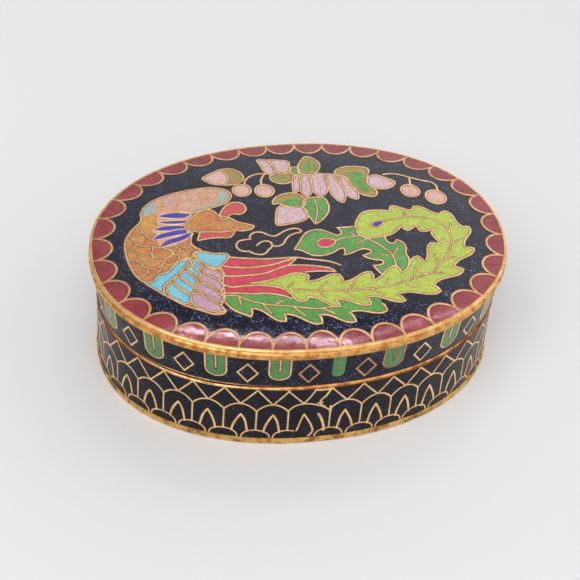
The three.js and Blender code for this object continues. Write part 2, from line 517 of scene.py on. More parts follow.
def fired_enamel():
    """Glass fused to copper: two tints in soft patches, fine specks, open pits, and a gloss that
    waves a little and dulls in the pits. Towards the front it takes a darker tint and more pale specks:
    painted shade and painted glints of light."""
    black, white = (0, 0, 0, 1), (1, 1, 1, 1)
    tree, given, out = effect(
        "fired_enamel",
        [
            ("Tint", "Color", white),
            ("Second Tint", "Color", black),
            ("Patch Scale", "Float", 400.0),
            ("Patch Share", "Float", 0.5),
            ("Speck Tint", "Color", white),
            ("Speck Share", "Float", 0.1),
            ("Pit Share", "Float", 0.3),
            ("Front Wear", "Float", 0.0),
            ("Front Tint", "Color", black),
        ],
        [("Color", "Color"), ("Roughness", "Float"), ("Height", "Float")],
    )
    place = add(tree, "TexCoord").outputs["Object"]
    patches = ranged(tree, noise(tree, place, given["Patch Scale"], 4), 0.36, 0.66)
    tint = mixed(tree, times(tree, patches, given["Patch Share"]), given["Tint"], given["Second Tint"])
    # Painted shade: towards the front (lower Y) the tint turns to the darker front tint.
    depth = add(tree, "SeparateXYZ", {0: place}).outputs["Y"]
    front_shade_and_glints = times(tree, ranged(tree, depth, -0.006, -0.016, 0.0, 1.0), given["Front Wear"])
    tint = mixed(tree, front_shade_and_glints, tint, given["Front Tint"])
    cloudy = ranged(tree, noise(tree, place, 1900.0, 4), 0.3, 0.7, 0.82, 1.12)
    shade = add(tree, "HueSaturation", {"Value": cloudy, "Color": tint}).outputs["Color"]
    fine = ranged(tree, noise(tree, place, 3600.0, 3, 0.6), 0.53, 0.68)
    drifts = ranged(tree, noise(tree, place, 420.0, 3), 0.4, 0.62, 0.15, 1.0)
    specks = times(tree, times(tree, fine, drifts), given["Speck Share"])
    # Painted glints: towards the front the pale specks grow up to twice as many.
    more = add(tree, "Math", {0: 1.0, 1: front_shade_and_glints}, operation="ADD").outputs[0]
    specks = times(tree, specks, more)
    shade = mixed(tree, specks, shade, given["Speck Tint"])
    cells = add(tree, "TexVoronoi", {"Vector": place, "Scale": 1500.0})
    chosen = add(tree, "SeparateColor", {"Color": cells.outputs["Color"]}).outputs["Red"]
    chosen = ranged(tree, chosen, 0.55, 0.95)
    holes = times(tree, ranged(tree, cells.outputs["Distance"], 0.1, 0.24, 1.0, 0.0), chosen)
    holes = times(tree, holes, given["Pit Share"])
    shade = mixed(tree, times(tree, holes, 0.75), shade, srgb(38, 26, 24))
    rough = ranged(tree, noise(tree, place, 900.0, 3), 0.3, 0.75, 0.05, 0.12)
    rough = add(tree, "Math", {0: rough, 1: times(tree, holes, 0.45)}, operation="ADD").outputs[0]
    waves = times(tree, noise(tree, place, 600.0, 2, 0.5), 0.4)
    height = add(tree, "Math", {0: waves, 1: holes}, operation="SUBTRACT").outputs[0]
    for socket, value in (("Color", shade), ("Roughness", rough), ("Height", height)):
        tree.links.new(value, out.inputs[socket])
    return tree


def rubbed_gilding():
    """Gilt brass that has been handled: bright where it is rubbed, brown in patches and in pits,
    with fine scratches in the gloss."""
    tree, given, out = effect(
        "rubbed_gilding",
        [
            ("Bright", "Color", (1, 1, 1, 1)),
            ("Dull", "Color", (0, 0, 0, 1)),
            ("Dull Share", "Float", 0.5),
            ("Grain Scale", "Float", 900.0),
            ("Pit Share", "Float", 0.5),
        ],
        [("Color", "Color"), ("Roughness", "Float"), ("Height", "Float")],
    )
    place = add(tree, "TexCoord").outputs["Object"]
    patches = ranged(tree, noise(tree, place, given["Grain Scale"], 5, 0.62), 0.4, 0.64)
    patches = times(tree, patches, given["Dull Share"])
    tint = mixed(tree, patches, given["Bright"], given["Dull"])
    spots = ranged(tree, noise(tree, place, 2600.0, 3, 0.6), 0.6, 0.74)
    spots = times(tree, spots, given["Pit Share"])
    tint = mixed(tree, spots, tint, srgb(70, 38, 18))
    scratch = add(tree, "Mapping", {"Vector": place, "Scale": (350, 350, 6500)}).outputs[0]
    lines = ranged(tree, noise(tree, scratch, 1.0, 2), 0.35, 0.7)
    rough = ranged(tree, patches, 0.0, 1.0, 0.3, 0.55)
    rough = add(tree, "Math", {0: rough, 1: times(tree, lines, 0.12)}, operation="ADD").outputs[0]
    bumps = noise(tree, place, 1500.0, 4)
    height = add(tree, "Math", {0: bumps, 1: spots}, operation="SUBTRACT").outputs[0]
    for socket, value in (("Color", tint), ("Roughness", rough), ("Height", height)):
        tree.links.new(value, out.inputs[socket])
    return tree


ENAMEL = fired_enamel()
GILDING = rubbed_gilding()


def finish(name, tree_of, relief, inputs, **shader):
    """A material: an effect group's colour, roughness and height on a Principled shader."""
    material = bpy.data.materials.new(name)
    material.use_nodes = True
    tree = material.node_tree
    tree.nodes.clear()
    look = add(tree, "Group", node_tree=tree_of)
    for socket, value in inputs.items():
        look.inputs[socket].default_value = value
    bump = add(tree, "Bump", {"Height": look.outputs["Height"], "Strength": 1.0, "Distance": relief * MM})
    surface = add(tree, "BsdfPrincipled", {
        "Base Color": look.outputs["Color"],
        "Roughness": look.outputs["Roughness"],
        "Normal": bump.outputs["Normal"],
    })
    for socket, value in shader.items():
        surface.inputs[socket.replace("_", " ")].default_value = value
    tree.links.new(surface.outputs[0], add(tree, "OutputMaterial").inputs["Surface"])
    return material


BLACK = (0, 0, 0)


def enamel(name, tint, second, patch=0.5, scale=400.0, speck=(235, 225, 220), specks=0.1, pits=0.3,
           front=BLACK, worn=0.0, specular=0.5):
    """Enamel of a tint, with a second tint in patches and specks of a third. Towards the front it
    takes a fourth tint and twice the specks by the share given in worn: painted shade and painted
    glints of light."""
    return finish(f"enamel_{name}", ENAMEL, 0.03, {
        "Tint": srgb(*tint),
        "Second Tint": srgb(*second),
        "Patch Scale": scale,
        "Patch Share": patch,
        "Speck Tint": srgb(*speck),
        "Speck Share": specks,
        "Pit Share": pits,
        # the share and the tint of the painted shade and painted glints towards the front
        "Front Wear": worn,
        "Front Tint": srgb(*front),
    }, Specular_IOR_Level=specular)


def brass(name, bright, dull, share, scale, pits, relief=0.03):
    """Gilt brass, rubbed bright or gone dull by a share."""
    return finish(f"brass_{name}", GILDING, relief, {
        "Bright": srgb(*bright),
        "Dull": srgb(*dull),
        "Dull Share": share,
        "Grain Scale": scale,
        "Pit Share": pits,
    }, Metallic=1.0)


# An enamel's two tints, the share and scale of the patches, the specks' tint and share, the pits'
# share, the tint and the share that it takes towards the front (painted shade and painted glints), and its
# gloss.
ENAMELS = {
    # Towards the front the ground darkens and its pale specks double: painted shade and painted glints.
    "ground": ((22, 22, 32), (22, 25, 50), 0.7, 330.0, (132, 146, 196), 0.45, 0.6, (8, 10, 30), 1.0),
    "lid_wall_ground": ((11, 10, 14), (15, 17, 36), 0.7, 300.0, (140, 150, 205), 0.4, 0.6, BLACK, 0.0, 0.16),
    "wall_ground": ((13, 12, 14), (18, 18, 32), 0.6, 300.0, (110, 115, 165), 0.25, 0.6, BLACK, 0.0, 0.2),
    "scallop_red": ((156, 64, 70), (130, 50, 54), 0.8, 300.0, (205, 150, 150), 0.2),
    "turquoise": ((112, 190, 216), (136, 204, 216), 0.8, 350.0),
    "wing_spot": ((144, 190, 196), (150, 184, 182), 0.8, 500.0),
    "mauve": ((192, 152, 172), (204, 164, 176), 0.8, 350.0),
    "ochre": ((204, 142, 74), (186, 108, 76), 0.95, 520.0, (240, 200, 130), 0.3),
    "yellow_ochre": ((208, 160, 80), (200, 136, 76), 0.8, 600.0, (240, 210, 140), 0.3),
    "tail_red": ((210, 72, 90), (192, 58, 76), 0.7, 350.0, (240, 170, 160), 0.15),
    "light_green": ((184, 202, 80), (172, 186, 78), 0.7, 350.0, (225, 226, 150), 0.2),
    "leaf_green": ((102, 162, 76), (86, 142, 78), 0.7, 380.0, (180, 206, 140), 0.15),
    "lappet_green": ((80, 132, 66), (64, 112, 66), 0.7, 380.0, (150, 180, 120)),
    "cobalt": ((66, 64, 176), (84, 70, 150), 0.8, 500.0),
    "blade_gap": ((226, 184, 164), (206, 154, 128), 0.8, 600.0),
    "amber": ((206, 146, 92), (214, 158, 110), 0.8, 500.0),
    "shell_pink": ((212, 166, 150), (206, 158, 118), 0.8, 330.0),
    "petal_pink": ((214, 180, 196), (214, 176, 164), 0.6, 300.0),
    "petal_peach": ((222, 182, 172), (212, 166, 146), 0.7, 320.0),
    "pale_grey": ((168, 176, 156), (190, 168, 132), 0.8, 330.0),
    "olive": ((150, 148, 70), (176, 140, 84), 0.8, 330.0),
    "comb_red": ((208, 84, 84), (190, 92, 78), 0.7, 400.0),
    "counter": ((56, 150, 178), (44, 122, 160), 0.7, 160.0, (190, 225, 230), 0.15, 0.5),
    # The dark lines along the wires: painted shade beside the wires, and tarnish.
    "wire_shade_tarnish": ((112, 62, 40), (70, 42, 34), 0.9, 900.0, (190, 130, 80), 0.3, 0.3),
    "pit": ((12, 10, 10), (24, 18, 16), 0.7, 700.0, (60, 50, 40), 0.2, 0.9),
}
# A brass's bright and dull tint, the share and scale of the dull patches, the pits' share, and its
# relief in millimetres.
BRASSES = {
    # Near-black brass in the groove at the seam and under the lid's lower rim: painted shade.
    "recess_shade": ((64, 42, 26), (28, 18, 12), 0.8, 700.0, 0.8, 0.04),
    "gilt": ((255, 220, 168), (232, 174, 120), 0.7, 700.0, 0.25, 0.012),
    "wall_gilt": ((255, 224, 164), (226, 176, 114), 0.75, 700.0, 0.35, 0.012),
    "scallop_gilt": ((250, 202, 154), (216, 154, 112), 0.8, 600.0, 0.3, 0.012),
    # A duller gilt for the wall wires in front.
    "front_dull_gilt": ((216, 168, 120), (160, 112, 78), 0.9, 700.0, 0.6, 0.012),
    "band": ((232, 176, 104), (186, 124, 66), 0.95, 800.0, 0.55, 0.03),
    "rim": ((230, 184, 108), (150, 102, 54), 0.9, 600.0, 0.9, 0.05),
    "mouth": ((246, 200, 142), (188, 134, 92), 0.9, 700.0, 0.7, 0.04),
    "top_wire": ((255, 214, 144), (216, 152, 88), 0.7, 700.0, 0.4, 0.03),
}
FINISHES = {name: enamel(name, *look) for name, look in ENAMELS.items()}
FINISHES.update({name: brass(name, *look) for name, look in BRASSES.items()})


# ---------------------------------------------------------------- the box itself

def section(*points, step=0.12):
    """A rounded stretch of a section, through (inset, level) points."""
    return smooth(points, step=step)


def opened(tight, wide):
    """Rings of a rim along the seam. At t degrees round they follow the wide section by the share
    e^-((t - centre) / spread)^2, at the front left where the seam stands open, and else the tight one."""
    degrees = np.linspace(0, 360, AROUND, endpoint=False)
    share = np.exp(-(((degrees - OPEN_AT) / OPEN_SPREAD) ** 2))[None, :, None]
    return share * ovals(wide) + (1 - share) * ovals(tight)


def base_pieces():
    """The enamelled pan, its foot rim and its mouth rim with the collar. The mouth rim's bead is
    knocked down where the seam stands open."""
    inner = MOUTH_INSET + BASE_WALL
    floor = UNDERSIDE + PLATE
    foot_inner = FOOT_INSET + FOOT_STRIP
    levels = np.linspace(FOOT_TOP, BASE_TOP, 24)
    leaning = BASE_LOW + (BASE_HIGH - BASE_LOW) * (levels - FOOT_TOP) / (BASE_TOP - FOOT_TOP)
    outer = np.stack([leaning + SUNK, levels], -1)
    corner = section((inner, floor + 1.4), (inner + 0.3, floor + 0.42), (inner + 1.4, floor))
    middle = np.array([[foot_inner + 4 * k, UNDERSIDE] for k in (5, 3, 1, 0)])
    rings = ovals(np.vstack([
        middle,
        [(foot_inner, FOOT_TOP - 0.02)],
        [(BASE_LOW + SUNK, FOOT_TOP - 0.02)],
        outer,
        [(inner, BASE_TOP)],
        np.stack([np.full(8, inner), np.linspace(COLLAR_FOOT, floor + 1.8, 8)], -1),
        corner,
        [(inner + k, floor) for k in (5, 11, 17)],
    ]))
    centre = np.zeros((1, AROUND, 3))
    low, high = centre + [0, 0, UNDERSIDE], centre + [0, 0, floor]
    turned(
        "base_enamel",
        np.vstack([low, rings, high]),
        [FINISHES["wall_ground"], FINISHES["counter"]],
        ["base_body"],
        changes=[len(middle) + 2 + len(outer) + 1],
    )
    foot = np.vstack([
        [(foot_inner, 0)],
        section((FOOT_INSET + 0.3, 0), (FOOT_INSET + 0.05, 0.22), (FOOT_INSET, 0.62),
                (FOOT_INSET + 0.03, 0.95), (FOOT_INSET + 0.15, FOOT_TOP)),
        [(foot_inner, FOOT_TOP)],
    ])
    turned("base_foot_rim_brass", ovals(foot), [FINISHES["rim"]], ["base_foot_rim"],
           closed=True)
    bead = section((BASE_HIGH, BASE_TOP), (MOUTH_INSET, BASE_TOP + 0.2), (MOUTH_INSET + 0.06, BASE_TOP + 0.4),
                   (BASE_HIGH + 0.3, SEAM - 0.09))
    mouth = np.vstack([
        [(inner + 0.6, COLLAR_FOOT), (inner, COLLAR_FOOT), (inner, BASE_TOP)],
        bead,
        [(inner - 0.5, SEAM - 0.07), (inner - 0.4, SEAM), (inner, SEAM), (inner, COLLAR_TOP - 0.25)],
        section((inner, COLLAR_TOP - 0.2), (inner + 0.3, COLLAR_TOP), (inner + 0.6, COLLAR_TOP - 0.2)),
    ])
    open_rim = mouth - np.outer((mouth[:, 1] > BASE_TOP + 0.1) & (mouth[:, 1] < SEAM - 0.01), (0, 0.26))
    tight = mouth + np.outer((mouth[:, 1] > BASE_TOP + 0.2) & (mouth[:, 1] < SEAM - 0.08), (0.4, -0.16))
    turned(
        "base_mouth_rim_brass",
        opened(tight, open_rim),
        # the groove under the seam is painted shade, in near-black brass
        [FINISHES["mouth"], FINISHES["recess_shade"], FINISHES["mouth"]],
        ["base_mouth_rim"],
        changes=[len(bead) + 2, len(bead) + 4],
        closed=True,
    )


def lid_pieces():
    """The enamelled dome and wall, the lower rim, the edge band and the top wire."""
    inner_low, inner_high = LID_LOW + 1.15, LID_HIGH + 1.3
    shares = np.array([1, 0.985, 0.96, 0.93, 0.89, 0.85, 0.8, 0.74, 0.67, 0.6, 0.52, 0.43, 0.34, 0.24, 0.12])
    levels = np.linspace(LID_FOOT, BAND_FOOT, 20)
    flare = LID_LOW + (LID_HIGH - LID_LOW) * (levels - LID_FOOT) / (BAND_FOOT - LID_FOOT)
    outer = np.vstack([
        np.stack([flare + SUNK, levels], -1),
        [(BAND_INNER, BAND_FOOT), (BAND_INNER, BAND_TOP), (DOME_INSET, BAND_TOP)],
    ])
    under = dome_rings([0.12, 0.35, 0.62, 0.8, 0.89], PLATE)
    shoulder = ovals(section((inner_high + 0.3, DOME_EDGE - PLATE), (inner_high, DOME_EDGE - PLATE - 0.7),
                             (inner_low, LID_FOOT)))
    centre = np.zeros((1, AROUND, 3))
    rings = np.vstack([
        centre + [0, 0, DOME_TOP - PLATE],
        under,
        shoulder,
        ovals(outer),
        dome_rings(shares, SUNK),
        centre + [0, 0, DOME_TOP - SUNK],
    ])
    start = 1 + len(under) + len(shoulder)
    turned("lid_enamel", rings, [FINISHES[k] for k in ("counter", "lid_wall_ground", "ground")],
           ["lid_body"], changes=[start - 1, start + len(outer) - 1])
    middle_level = (SEAM + LID_FOOT) / 2
    lower = np.vstack([
        [(inner_low, SEAM)],
        section((LID_LOW + 0.5, SEAM), (LID_LOW + 0.12, SEAM + 0.06), (LID_LOW - 0.04, middle_level),
                (LID_LOW, LID_FOOT)),
        [(inner_low, LID_FOOT)],
    ])
    tucked = lower + np.outer((lower[:, 0] < LID_LOW + 0.45) & (lower[:, 1] < LID_FOOT - 0.02), (0.3, 0))
    # The underside of the lower rim, over the seam, is painted shade in near-black brass.
    turned("lid_lower_rim_brass", opened(tucked, lower), [FINISHES["recess_shade"], FINISHES["mouth"]],
           ["lid_lower_rim"], changes=[3], closed=True)
    band = np.vstack([
        [(BAND_INNER, BAND_FOOT)],
        section((0.32, BAND_FOOT), (0.08, BAND_FOOT + 0.25), (0, BAND_FOOT + 0.7),
                (0.06, BAND_FOOT + 1.05), (0.26, BAND_TOP - 0.12), (0.42, BAND_TOP)),
        [(BAND_INNER, BAND_TOP)],
    ])
    turned("lid_edge_band_brass", ovals(band), [FINISHES["band"]], ["lid_edge_band"],
           closed=True)
    wire_outer = HALF_LENGTH - WIRE_REACH
    top = np.vstack([
        [(DOME_INSET, BAND_TOP)],
        section((wire_outer + 0.3, BAND_TOP), (wire_outer + 0.06, BAND_TOP + 0.14),
                (wire_outer, BAND_TOP + 0.32), (wire_outer + 0.16, DOME_EDGE - 0.03),
                (DOME_INSET, DOME_EDGE)),
    ])
    turned("lid_top_wire_brass", ovals(top), [FINISHES["top_wire"]], ["lid_top_wire"],
           closed=True)


# ---------------------------------------------------------------- the lid's picture

NECK_OUTER = [(-23.8, 8), (-23.9, 6.4), (-25.7, 4.1), (-26.8, 1.9), (-27, -0.7), (-26.7, -3.4),
              (-25.9, -6), (-25, -7.3)]
BREAST_FOOT = [(-25, -7.3), (-23.5, -7.3), (-22.6, -6.2), (-21.5, -6), (-20.2, -4.7), (-18.9, -3.9),
               (-17.4, -3.4), (-17, -2.5)]
NECK_INNER = [(-17, -2.5), (-15.8, -2.1), (-16.5, -1.4), (-17.1, -0.3), (-17, 0.5), (-16.5, 1.9)]
SCALES = [
    [(-24.4, 5.1), (-24.2, 4), (-23.6, 3), (-22.9, 2.5), (-22.1, 2.7)],
    [(-26.7, 2.1), (-25.6, 2.3), (-24.6, 2.9), (-24.1, 3.9)],
    [(-25.6, 2.2), (-25.2, 1.1), (-24.6, 0.4), (-23.7, 0.1), (-23, 0.2)],
    [(-23.6, 2.9), (-23.3, 2), (-22.7, 1.4), (-22.1, 1.3)],
    [(-26.9, -0.3), (-26.1, 0), (-25.2, 1)],
    [(-25.7, -0.1), (-25.1, -1.3), (-24.3, -1.7), (-23.4, -1.6), (-22.9, -0.7), (-23, 0.2)],
    [(-23, 0.2), (-22.4, -0.3), (-21.7, -0.5)],
    [(-26.8, -2.2), (-26.2, -2.6), (-25.5, -2.5), (-25, -1.5)],
    [(-25.6, -2.6), (-24.9, -3.4), (-24.3, -3.5), (-23.4, -3), (-23.1, -2.3), (-23.3, -1.6)],
    [(-23.1, -1.6), (-22.8, -2.5), (-21.8, -2.9), (-20.9, -2.8), (-20.1, -2.3), (-20.5, -1.4),
     (-21.4, -0.8)],
    [(-21.4, -0.8), (-20.6, -0.9), (-20, -1.7), (-19.9, -2.4)],
    [(-20.4, -0.7), (-19.4, -0.8), (-18.9, -1.6), (-19.3, -2.3), (-19.9, -2.4)],
    [(-18.9, -0.1), (-18.2, -1.1), (-17.6, -1.3), (-17.2, -0.8)],
    [(-19, -1.6), (-18.3, -2.1), (-17.6, -2), (-17.1, -1.4)],
    [(-26.4, -4.3), (-25.6, -4.5), (-24.9, -3.9)],
    [(-24.9, -3.5), (-24.5, -4.2), (-23.9, -4.7), (-23.2, -4.8), (-22.3, -4.5), (-21.6, -3.9),
     (-21.2, -3)],
    [(-21.7, -3.9), (-20.9, -4.4), (-20, -4.2), (-19.4, -3.6), (-19.2, -2.6)],
    [(-19.4, -3.3), (-18.7, -3.6), (-18, -3.2), (-17.7, -2.4)],
    [(-25.7, -5.9), (-24.9, -6), (-24.2, -5.3), (-24, -4.7)],
    [(-24.2, -5.4), (-23.6, -6), (-22.9, -5.9), (-22.2, -5.2), (-22, -4.4)],
]


def bird_front(art):
    """The phoenix's wing, neck, breast and head."""
    neck = cornered(
        NECK_OUTER,
        BREAST_FOOT,
        NECK_INNER,
        [(-16.5, 1.9), (-16.4, 3.2), (-16, 5.5), (-15.7, 6.7)],
        [(-15.7, 6.7), (-17, 7.3), (-20, 7.6), (-22, 7.4), (-23.8, 8)],
    )
    art.cell("ochre", neck[:-1], 0)
    art.wire(cornered(NECK_OUTER, BREAST_FOOT, NECK_INNER), 0.4)
    art.stain("yellow_ochre", [(-23.7, 7.8), (-23.7, 6.4), (-24.9, 4.6), (-24.2, 3.6), (-23, 2.9),
        (-22.3, 3.2), (-22, 5), (-21.6, 7.4), (-22.6, 8)], 1)
    for scale in SCALES:
        art.stroke(scale, 0.27)
    spots = [
        ((-24.4, -2.4), 1.2, 1, 20),
        ((-22.9, -3.9), 1.3, 0.9, -10),
        ((-24.4, 1.9), 1.1, 1.4, 10),
        ((-18.3, -2.7), 1, 0.7, 30),
    ]
    for spot in spots:
        art.cell("yellow_ochre", ellipse(*spot), 1)
    fan = smooth([(-21.2, 7.2), (-18.6, 7.3), (-16.2, 6.5), (-16.4, 4.4), (-17, 2.8), (-16.4, 1.9),
        (-16.9, 1), (-18.4, 0.1), (-20.6, -0.6), (-21.9, -0.7), (-21.8, 0.6), (-22.8, 1.4), (-22.2, 2.6),
        (-22.4, 3.8), (-21.5, 4.6), (-21.6, 5.6)], closed=True)
    art.cell("blade_gap", fan, 1)
    blades = [
        [(-21.2, 6.85), (-20, 7.25), (-18.3, 7.2), (-16.2, 6.4), (-16.9, 5.8), (-18.2, 5.75),
         (-19.6, 6.1)],
        [(-21.4, 5.45), (-20, 5.5), (-18.2, 5.3), (-16.5, 5), (-17.6, 4.5), (-19.4, 4.6), (-20.6, 4.9)],
        [(-22.2, 3.75), (-20.9, 4.3), (-19.5, 4.3), (-17.6, 3.8), (-17.3, 3.4), (-18.8, 3.2),
         (-20.7, 3.2)],
        [(-22.7, 1.45), (-21.5, 2.6), (-20.1, 2.9), (-17.3, 2.75), (-17.2, 2.3), (-18.8, 1.85),
         (-20.5, 1.65)],
        [(-21.9, -0.4), (-20.7, 0.95), (-18.5, 1.6), (-16.6, 2.1), (-16.9, 1.4), (-18.3, 0.5),
         (-20.2, 0)],
    ]
    for blade in blades:
        art.bound("cobalt", smooth(blade, closed=True, step=0.2), 2, 0.2)
    edge = [(-23.8, 7.6), (-23.5, 8.8), (-22, 10.6), (-19.1, 11.9), (-14.9, 12.6), (-12.1, 12.6),
            (-9.7, 11.4), (-9.25, 10.4), (-10.1, 8.55), (-12.4, 7.6), (-14.9, 7), (-15.7, 6.7)]
    wing = cornered([(-22, 7.4), *edge], [(-15.7, 6.7), (-17, 7.3), (-20, 7.6), (-22, 7.4)])
    art.cell("shell_pink", wing[:-1], 1)
    art.stroke(edge, 0.3)
    art.stroke([(-21.4, 7.3), (-20, 7.6), (-18, 7.5), (-15.9, 6.6)], 0.2)
    art.stain("pale_grey", [(-15.6, 6.9), (-14, 8.2), (-12, 9.3), (-10.6, 10.2), (-9.6, 10.3),
        (-10.3, 8.8), (-12.4, 7.8), (-14.4, 7.2)], 2)
    art.stain("pale_grey", [(-23.4, 7.9), (-23, 9.4), (-21.6, 10.7), (-20.9, 9.6), (-21.3, 8.1),
        (-22.3, 7.7)], 2)
    art.cell("amber", petal((-20.7, 7.9), (-19.9, 11.3), 0.7, 0.5), 2)
    art.cell("amber", petal((-18.1, 7.8), (-17.6, 10.4), 0.5, 0.6), 2)
    art.cell("mauve", ellipse((-18.8, 10.1), 1.1, 1.2, 20), 2)
    art.cell("amber", ellipse((-12.9, 10.2), 0.7, 0.9, 20), 2)
    art.cell("wing_spot", ellipse((-22.6, 8.6), 1.05, 2.3, -20), 3)
    art.cell("wing_spot", ellipse((-10.6, 10.2), 0.75, 2.3, -12), 3)
    head = cornered(
        [(-15.3, 2), (-16.7, 2.7), (-17.5, 3.8), (-16.6, 4.9), (-15.7, 6), (-14.85, 6.8), (-13.7, 7.2),
         (-12.65, 6.65), (-12.1, 5.7), (-10.35, 4.6), (-9.1, 3.4), (-8.2, 3), (-6.9, 2.3)],
        [(-6.9, 2.3), (-7.5, 1.6), (-8.6, 1.4), (-10, 1.6), (-12, 1.5), (-13.7, 1.8), (-15.3, 2)],
    )
    art.bound("ochre", head[:-1], 3)
    art.wire(ellipse((-10.9, 3.1), 1.5, 1.4), 0.22)
    art.stroke([(-9.9, 2.7), (-9.4, 2.2), (-9.8, 1.7)], 0.22)
    comb = smooth([(-11.4, 4.35), (-11.85, 5), (-11.6, 6), (-11, 7), (-10.2, 7.9), (-9.3, 8.3),
        (-8.4, 8.15), (-7.7, 7.5), (-7.5, 6.65), (-7.8, 5.85), (-8.6, 5.3), (-9.4, 5.5), (-10, 5.5),
        (-10.5, 5), (-10.8, 4.5)], closed=True)
    art.bound("comb_red", comb, 2)
    wattle = cornered(
        [(-15.3, 2.1), (-16, 0.1)],
        [(-16, 0.1), (-15.1, 0.25), (-13.7, 0.4), (-12.5, 0.3), (-11, 0.2), (-10.4, 0.8), (-10, 1.7)],
        [(-10, 1.7), (-12, 1.6), (-13.7, 1.9), (-15.3, 2.1)],
    )
    art.bound("comb_red", wattle[:-1], 2)


def bird_feathers(art):
    """The short feathers below the breast, turquoise and mauve, and the band above them."""
    patch = smooth([(-17.0, -2.5), (-16.1, -2.3), (-15, -2.65), (-14, -3.1), (-12.7, -3.25), (-12, -3.5),
        (-11.8, -4.1), (-12.3, -4.9), (-13.45, -6), (-14, -6.5), (-15.2, -5.7), (-16.3, -4.4)],
        closed=True)
    art.bound("turquoise", patch, 2)
    top = [(-17.4, -3.4), (-18.8, -5.5), (-19.9, -6.7), (-21.3, -7.9), (-22.1, -8.6), (-22.3, -9.5),
        (-22.2, -10.5)]
    edge = [(-22.1, -10.8), (-23.1, -9.6), (-24.1, -8.5), (-25, -7.3)]
    band = cornered(BREAST_FOOT[:-1], top, edge)
    art.bound("turquoise", band[:-1], 1)
    skirt = cornered(
        [(-17, -2.5), (-17.4, -3.4), (-18.8, -5.5), (-21.3, -7.9), (-22.2, -8.8), (-22.2, -10.6)],
        [(-22.2, -10.6), (-21, -11.8), (-19.8, -12.9), (-17.4, -14.4), (-15.2, -15.5), (-14.2, -15.4),
         (-13.9, -15.1)],
        [(-13.9, -15.1), (-14.4, -13.9), (-13.7, -12.6), (-14, -11.2), (-13.5, -10), (-14, -8.9),
         (-13.1, -8), (-13.6, -6.6), (-15.2, -5.7), (-17, -2.5)],
    )
    art.bound("yellow_ochre", skirt[:-1], 0)
    turquoise = [
        [(-21.5, -8.6), (-21.9, -9.4), (-21.7, -10.5), (-20.8, -11.6), (-19.6, -12.7), (-18.8, -12.6),
         (-18.6, -11.7), (-19.4, -10.4), (-20.2, -9.4), (-20.9, -8.4)],
        [(-20.6, -7.9), (-19.9, -7.2), (-19, -8.4), (-18.1, -9.5), (-17.9, -10.3), (-18.5, -10.9),
         (-19.6, -9.8), (-20.4, -8.7)],
        [(-19.5, -6.8), (-18.8, -6.2), (-17.9, -7.2), (-17.3, -8.3), (-17.5, -9.4), (-18.4, -8.8),
         (-19.1, -7.7)],
        [(-18.4, -5.7), (-17.9, -5), (-17.2, -6), (-16.6, -6.9), (-16.8, -7.7), (-17.6, -7)],
        [(-17.6, -4.4), (-17.1, -4), (-16.4, -5), (-16, -5.8), (-16.5, -6.3), (-17.2, -5.5)],
    ]
    mauve = [
        [(-18.2, -11), (-18.6, -12.5), (-18, -13.6), (-16.3, -14.6), (-15.2, -15.1), (-14.1, -15),
         (-14.3, -14.2), (-15.2, -13.2), (-16.4, -12), (-17.5, -11)],
        [(-17.7, -9.8), (-17, -9), (-16, -9.7), (-15.1, -10.6), (-14.3, -11.7), (-13.9, -12.6),
         (-14.4, -13.3), (-15.3, -12.6), (-16.4, -11.4), (-17.4, -10.4)],
        [(-16.8, -8.4), (-16.2, -7.2), (-15.4, -7.6), (-14.5, -8.4), (-13.8, -9.4), (-13.6, -10.3),
         (-14.1, -10.9), (-15, -10.2), (-15.9, -9.3)],
        [(-16.1, -6.5), (-15.4, -6), (-14.5, -6.7), (-13.7, -7.3), (-13.2, -8.1), (-13.7, -8.7),
         (-14.4, -8.6), (-15.2, -7.9)],
    ]
    for colour, feathers in (("turquoise", turquoise), ("mauve", mauve)):
        for feather in feathers:
            art.bound(colour, smooth(feather, closed=True, step=0.25), 2, 0.28)


W1 = [(-12.1, -4.2), (-10, -4.7), (-8.2, -5.1), (-5.9, -5.4), (-3.6, -5.5), (-1.8, -5.6), (-0.2, -6.1),
      (1.6, -6.6), (3.1, -7.1), (4.5, -8)]
W2 = [(-13.2, -5.7), (-12.3, -6.3), (-11.1, -6.6), (-9.4, -6.9), (-7.7, -6.9), (-5.9, -6.75),
      (-4.4, -6.4), (-3, -6), (-1.8, -5.6)]
W3 = [(-13.2, -8.1), (-11.7, -8.4), (-9.4, -8.5), (-7.7, -8.5), (-6.5, -8.25), (-4.8, -7.6),
      (-3.3, -7.1), (-1.8, -5.7)]
W3_TAIL = [(-3.3, -7.2), (-1.1, -7.4), (0.4, -7.7), (1.8, -8.1), (3, -8.65), (3.5, -9.3)]
W4 = [(-9.4, -10.2), (-7.7, -10.1), (-5.9, -9.8), (-4.2, -9.3), (-3, -9), (-2, -9), (-1.2, -9.3)]
W5 = [(-13.5, -9.9), (-12.8, -10.4), (-10, -10.6), (-8.2, -10.8), (-6.5, -11.2), (-5, -11.9),
      (-4.1, -12.9), (-3.3, -14.4), (-2.5, -14.8), (-1.9, -14.6), (-1.6, -14.0)]
W6 = [(-13.65, -11.6), (-11.7, -11.9), (-9.2, -12.4), (-7.7, -12.5), (-5.9, -13), (-4.6, -13.6),
      (-4, -14)]


